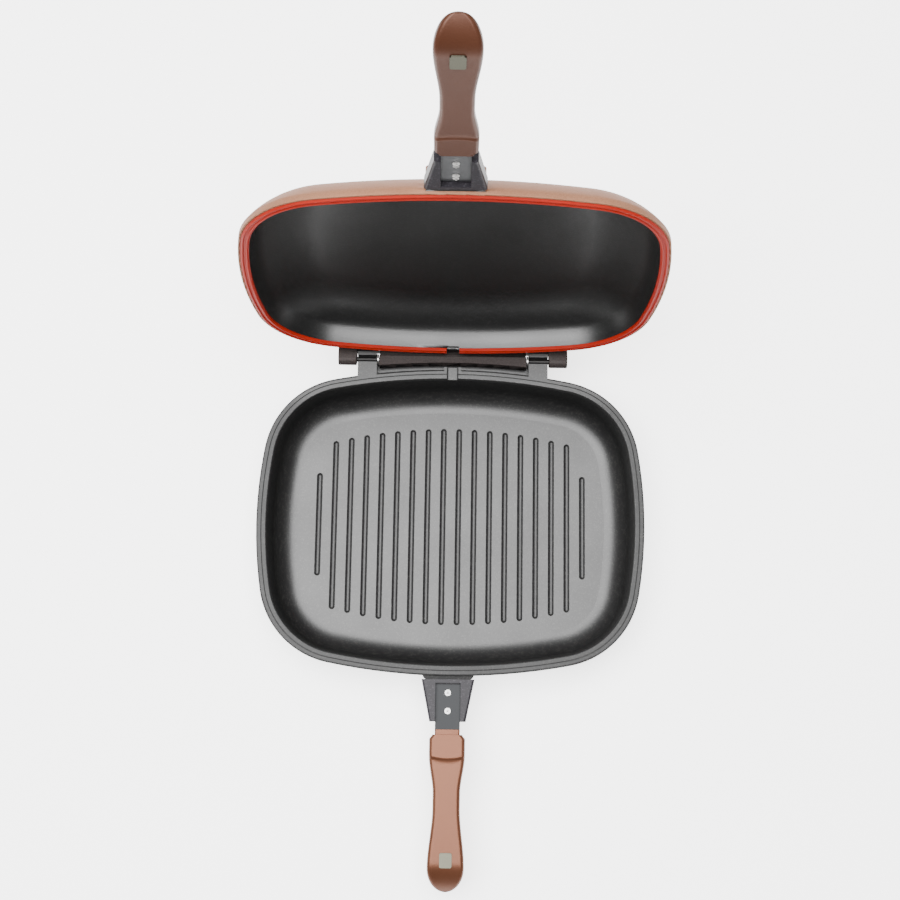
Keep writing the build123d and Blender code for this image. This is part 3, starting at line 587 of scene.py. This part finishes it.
def grip_ring(t):
    """One section of the grip: its flat face, round shoulders and half oval back."""
    half, thick = grip_size(t)
    shrink = 1.0
    if t > BULB_AT:
        shrink = math.sqrt(max(0.0, 1 - ((t - BULB_AT) / (GRIP_TO - BULB_AT)) ** 2))
    half *= shrink
    top = -TIP_DROP * max(0.0, (t - FACE_BEND) / (GRIP_TO - FACE_BEND)) ** 2
    low = -TIP_DROP - (thick - TIP_DROP) * shrink
    round_r = SHOULDER * shrink
    side = top - round_r - (top - low) * 0.12
    flat = half - round_r
    line = [(-flat + 2 * flat * i / 28, top) for i in range(29)]
    line += [(flat + round_r * math.sin(a), top - round_r * (1 - math.cos(a)))
             for a in (math.pi / 2 * i / 6 for i in range(1, 7))]
    line += [(half * math.cos(a), side - (side - low) * math.sin(a))
             for a in (math.pi * i / 28 for i in range(29))]
    line += [(-flat - round_r * math.sin(a), top - round_r * (1 - math.cos(a)))
             for a in (math.pi / 2 * i / 6 for i in range(6, 0, -1))]
    ring = []
    for x, z in line:
        arch = COLLAR_TO + COLLAR_ARCH * max(0.0, 1 - (x / COLLAR_HALF) ** 2)
        sunk = FACE_SUNK * ease((t - arch) / STEP) * ease((z - side) / round_r + 1)
        ring.append((x, -HALF_DEPTH - t, FACE_Z + z - sunk))
    return ring


def shell(rings):
    """Closed skin through rings of points, with a point in the middle of each end."""
    count = len(rings[0])
    points = [point for ring in rings for point in ring]
    faces = [(r * count + i, r * count + (i + 1) % count,
              (r + 1) * count + (i + 1) % count, (r + 1) * count + i)
             for r in range(len(rings) - 1) for i in range(count)]
    for first in (0, (len(rings) - 1) * count):
        middle = sum((Vector(p) for p in points[first:first + count]), Vector()) / count
        points.append(tuple(middle))
        faces += [(first + i, first + (i + 1) % count, len(points) - 1) for i in range(count)]
    return points, faces


def closed_mesh(name, shells, place=Matrix.Identity(4)):
    """Mesh of one or more closed skins, with its faces turned outwards."""
    built = bmesh.new()
    for points, faces in shells:
        verts = [built.verts.new(place @ Vector(p)) for p in points]
        for face in faces:
            built.faces.new([verts[i] for i in face])
    bmesh.ops.remove_doubles(built, verts=built.verts, dist=1e-7)
    bmesh.ops.recalc_face_normals(built, faces=built.faces)
    mesh = bpy.data.meshes.new(name)
    built.to_mesh(mesh)
    built.free()
    return mesh


def block(half, y0, y1, z0, z1, round_r, around="Z"):
    """Block with four rounded edges that run along Z or along Y."""
    wide, tall = (y1 - y0, z1 - z0) if around == "Z" else (z1 - z0, y1 - y0)
    line = []
    for cx, cy, turn in ((1, 1, 0), (-1, 1, 1), (-1, -1, 2), (1, -1, 3)):
        for i in range(7):
            a = math.pi / 2 * (turn + i / 6)
            line.append((cx * (half - round_r) + round_r * math.cos(a),
                         cy * (wide / 2 - round_r) + round_r * math.sin(a)))
    middle = ((y0 + y1) / 2, (z0 + z1) / 2)
    rings = []
    for end in (-0.5, 0.5):
        if around == "Z":
            rings.append([(x, middle[0] + w, middle[1] + end * tall) for x, w in line])
        else:
            rings.append([(x, middle[0] + end * tall, middle[1] + w) for x, w in line])
    return shell(rings)


def peg(y, z0, z1, r0, r1):
    """Upright round peg or cone."""
    rings = [[(r * math.cos(a), y + r * math.sin(a), z)
              for a in (2 * math.pi * i / 32 for i in range(32))] for z, r in ((z0, r0), (z1, r1))]
    return shell(rings)


stations = [GRIP_FROM + 0.0006 * i for i in range(7)] + [0.0505, 0.0525, 0.0545, 0.0565, 0.0585]
stations += [0.0596 + 0.0004 * i for i in range(13)]
stations += [0.0645 + (WAIST_FROM - 0.0645) * i / 14 for i in range(1, 15)]
stations += [WAIST_FROM + (BULB_AT - WAIST_FROM) * i / 28 for i in range(1, 29)]
stations += [BULB_AT + (GRIP_TO - BULB_AT) * math.sin(math.pi / 2 * i / 20) for i in range(1, 20)]
grip_skin = shell([grip_ring(t) for t in stations])
neck_skin = block(NECK_HALF, -HALF_DEPTH - GRIP_FROM - NECK_IN, -HALF_DEPTH - NECK_FROM,
                  STRAP_TOP_Z - NECK_UNDER, STRAP_TOP_Z + NECK_OVER, NECK_ROUND_R, "Y")
pocket_half = MAGNET_L / 2 + MAGNET_FIT
cuts = [
    block(MAGNET_W / 2 + MAGNET_FIT, -HALF_DEPTH - MAGNET_AT - pocket_half,
          -HALF_DEPTH - MAGNET_AT + pocket_half, FACE_Z - MAGNET_T - MAGNET_FIT,
          FACE_Z + FACE_PAST, MAGNET_CORNER_R),
    block(SLOT_HALF, -HALF_DEPTH - SLOT_TO, -HALF_DEPTH - SLOT_FROM, STRAP_TOP_Z - SLOT_DEEP,
          STRAP_TOP_Z, SLOT_ROUND_R, "Y"),
]
for at in GRIP_SCREW_AT:
    seat = FACE_Z - grip_size(at)[1] + GRIP_SCREW_SUNK
    neck = seat + GRIP_SCREW_CONE
    cuts += [peg(-HALF_DEPTH - at, seat - BACK_PAST, seat, GRIP_SCREW_HEAD_R, GRIP_SCREW_HEAD_R),
             peg(-HALF_DEPTH - at, seat - OVERLAP, neck, GRIP_SCREW_HEAD_R, GRIP_SCREW_R),
             peg(-HALF_DEPTH - at, neck - 2 * OVERLAP, STRAP_TOP_Z - 0.001, GRIP_SCREW_R,
                 GRIP_SCREW_R)]


def moulding_finish(name, deep, light, metal):
    """Moulded plastic under a satin copper-brown lacquer, slightly mottled."""
    material, place = start_finish(name)
    cloud = place.noise(0.03, 2.0)
    grain = place.noise(0.0007, 2.0)
    relief = place.bump(grain, 0.00004)
    end_finish(
        place,
        Base_Color=(cloud * 0.6 + grain * 0.25).colour(deep, light),
        Metallic=metal,
        Roughness=cloud * 0.08 + grain * 0.06 + 0.29,
        Normal=relief,
        Specular_IOR_Level=0.26,
    )
    return material


MOULDINGS = {
    "base": moulding_finish("brown_moulding", (0.084, 0.0300, 0.0150),
                            (0.130, 0.0510, 0.0270), 0.5),
    # The same moulding, painted darker brown on the upper grip as painted shade.
    "lid": moulding_finish("brown_moulding_painted_shade", (0.046, 0.0155, 0.0078),
                           (0.074, 0.0275, 0.0145), 0.3),
}
nickel = steel_finish("magnet_nickel", (0.092, 0.090, 0.070), (0.070, 0.069, 0.053), 0.34)
for pan, place in (("base", Matrix.Identity(4)), ("lid", MIRRORED)):
    grip = bpy.data.objects.new(pan + "_grip_blank", closed_mesh("blank", [grip_skin], place))
    tool_pieces = [bpy.data.objects.new(pan + "_neck", closed_mesh("neck", [neck_skin], place))]
    tool_pieces += [bpy.data.objects.new(pan + "_cut", closed_mesh("cut", [cut], place))
                    for cut in cuts]
    for piece in [grip] + tool_pieces:
        bpy.context.scene.collection.objects.link(piece)
    for number, tool in enumerate(tool_pieces):
        cutting = grip.modifiers.new("cut", "BOOLEAN")
        cutting.operation = "DIFFERENCE" if number else "UNION"
        cutting.object = tool
    made = grip.evaluated_get(bpy.context.evaluated_depsgraph_get())
    grip_mesh = bpy.data.meshes.new_from_object(made)
    grip_mesh.name = pan + "_grip_moulding"
    grip_mesh.validate()
    for piece in [grip] + tool_pieces:
        bpy.data.objects.remove(piece)
    grip_mesh.materials.clear()
    grip_mesh.materials.append(MOULDINGS[pan])
    crisp(grip_mesh, 0.7)
    add_piece(pan + "_grip_moulding", grip_mesh, pan, [pan + "_grip"])
    coat(pan + "_magnet", nickel)

# --- Floor and light -------------------------------------------------------------------------
# A wide sheet of white paper that glows near the pans and fades further out, one large soft
# box above and to the left, and a weak one behind.
FLOOR_HALF = 30.0
GLOW, GLOW_FADES = 2.4, (0.30, 1.30)     # strength, and from and to which distance squared
ROOM_LIGHT = 0.12
floor_mesh = bpy.data.meshes.new("floor")
floor_mesh.from_pydata([(-FLOOR_HALF, -FLOOR_HALF, 0), (FLOOR_HALF, -FLOOR_HALF, 0),
                        (FLOOR_HALF, FLOOR_HALF, 0), (-FLOOR_HALF, FLOOR_HALF, 0)],
                       [], [(0, 1, 2, 3)])
floor = bpy.data.objects.new("floor", floor_mesh)
bpy.context.scene.collection.objects.link(floor)
floor_coat, floor_place = start_finish("floor_paper")
floor_x, floor_y = floor_place.parts()[:2]
glow = (floor_x * floor_x + floor_y * floor_y).between(*GLOW_FADES)
end_finish(
    floor_place,
    Base_Color=floor_place.noise(0.3).colour((0.90, 0.90, 0.90), (0.92, 0.92, 0.92)),
    Roughness=0.9,
    Emission_Color=glow.colour((1.0, 1.0, 1.0), (0.22, 0.22, 0.22)),
    Emission_Strength=GLOW,
)
floor_mesh.materials.append(floor_coat)


def softbox(name, place, aim, width, depth, power):
    """A large flat lamp at a place, turned towards its aim."""
    lamp = bpy.data.lights.new(name, "AREA")
    lamp.shape = "RECTANGLE"
    lamp.size, lamp.size_y = width, depth
    lamp.energy = power
    box = bpy.data.objects.new(name, lamp)
    box.location = place
    box.rotation_euler = (Vector(aim) - Vector(place)).to_track_quat("-Z", "Y").to_euler()
    bpy.context.scene.collection.objects.link(box)


softbox("overhead", (-0.42, 0.20, 2.1), (-0.42, 0.20, 0), 2.25, 1.70, 185)
softbox("behind", (-0.1, 1.55, 1.9), (0, 0.1, 0), 1.4, 0.7, 5)
world = bpy.data.worlds.new("studio")
bpy.context.scene.world = world
world.use_nodes = True
sky = world.node_tree.nodes["Background"]
sky.inputs["Color"].default_value = (1, 1, 1, 1)
sky.inputs["Strength"].default_value = ROOM_LIGHT
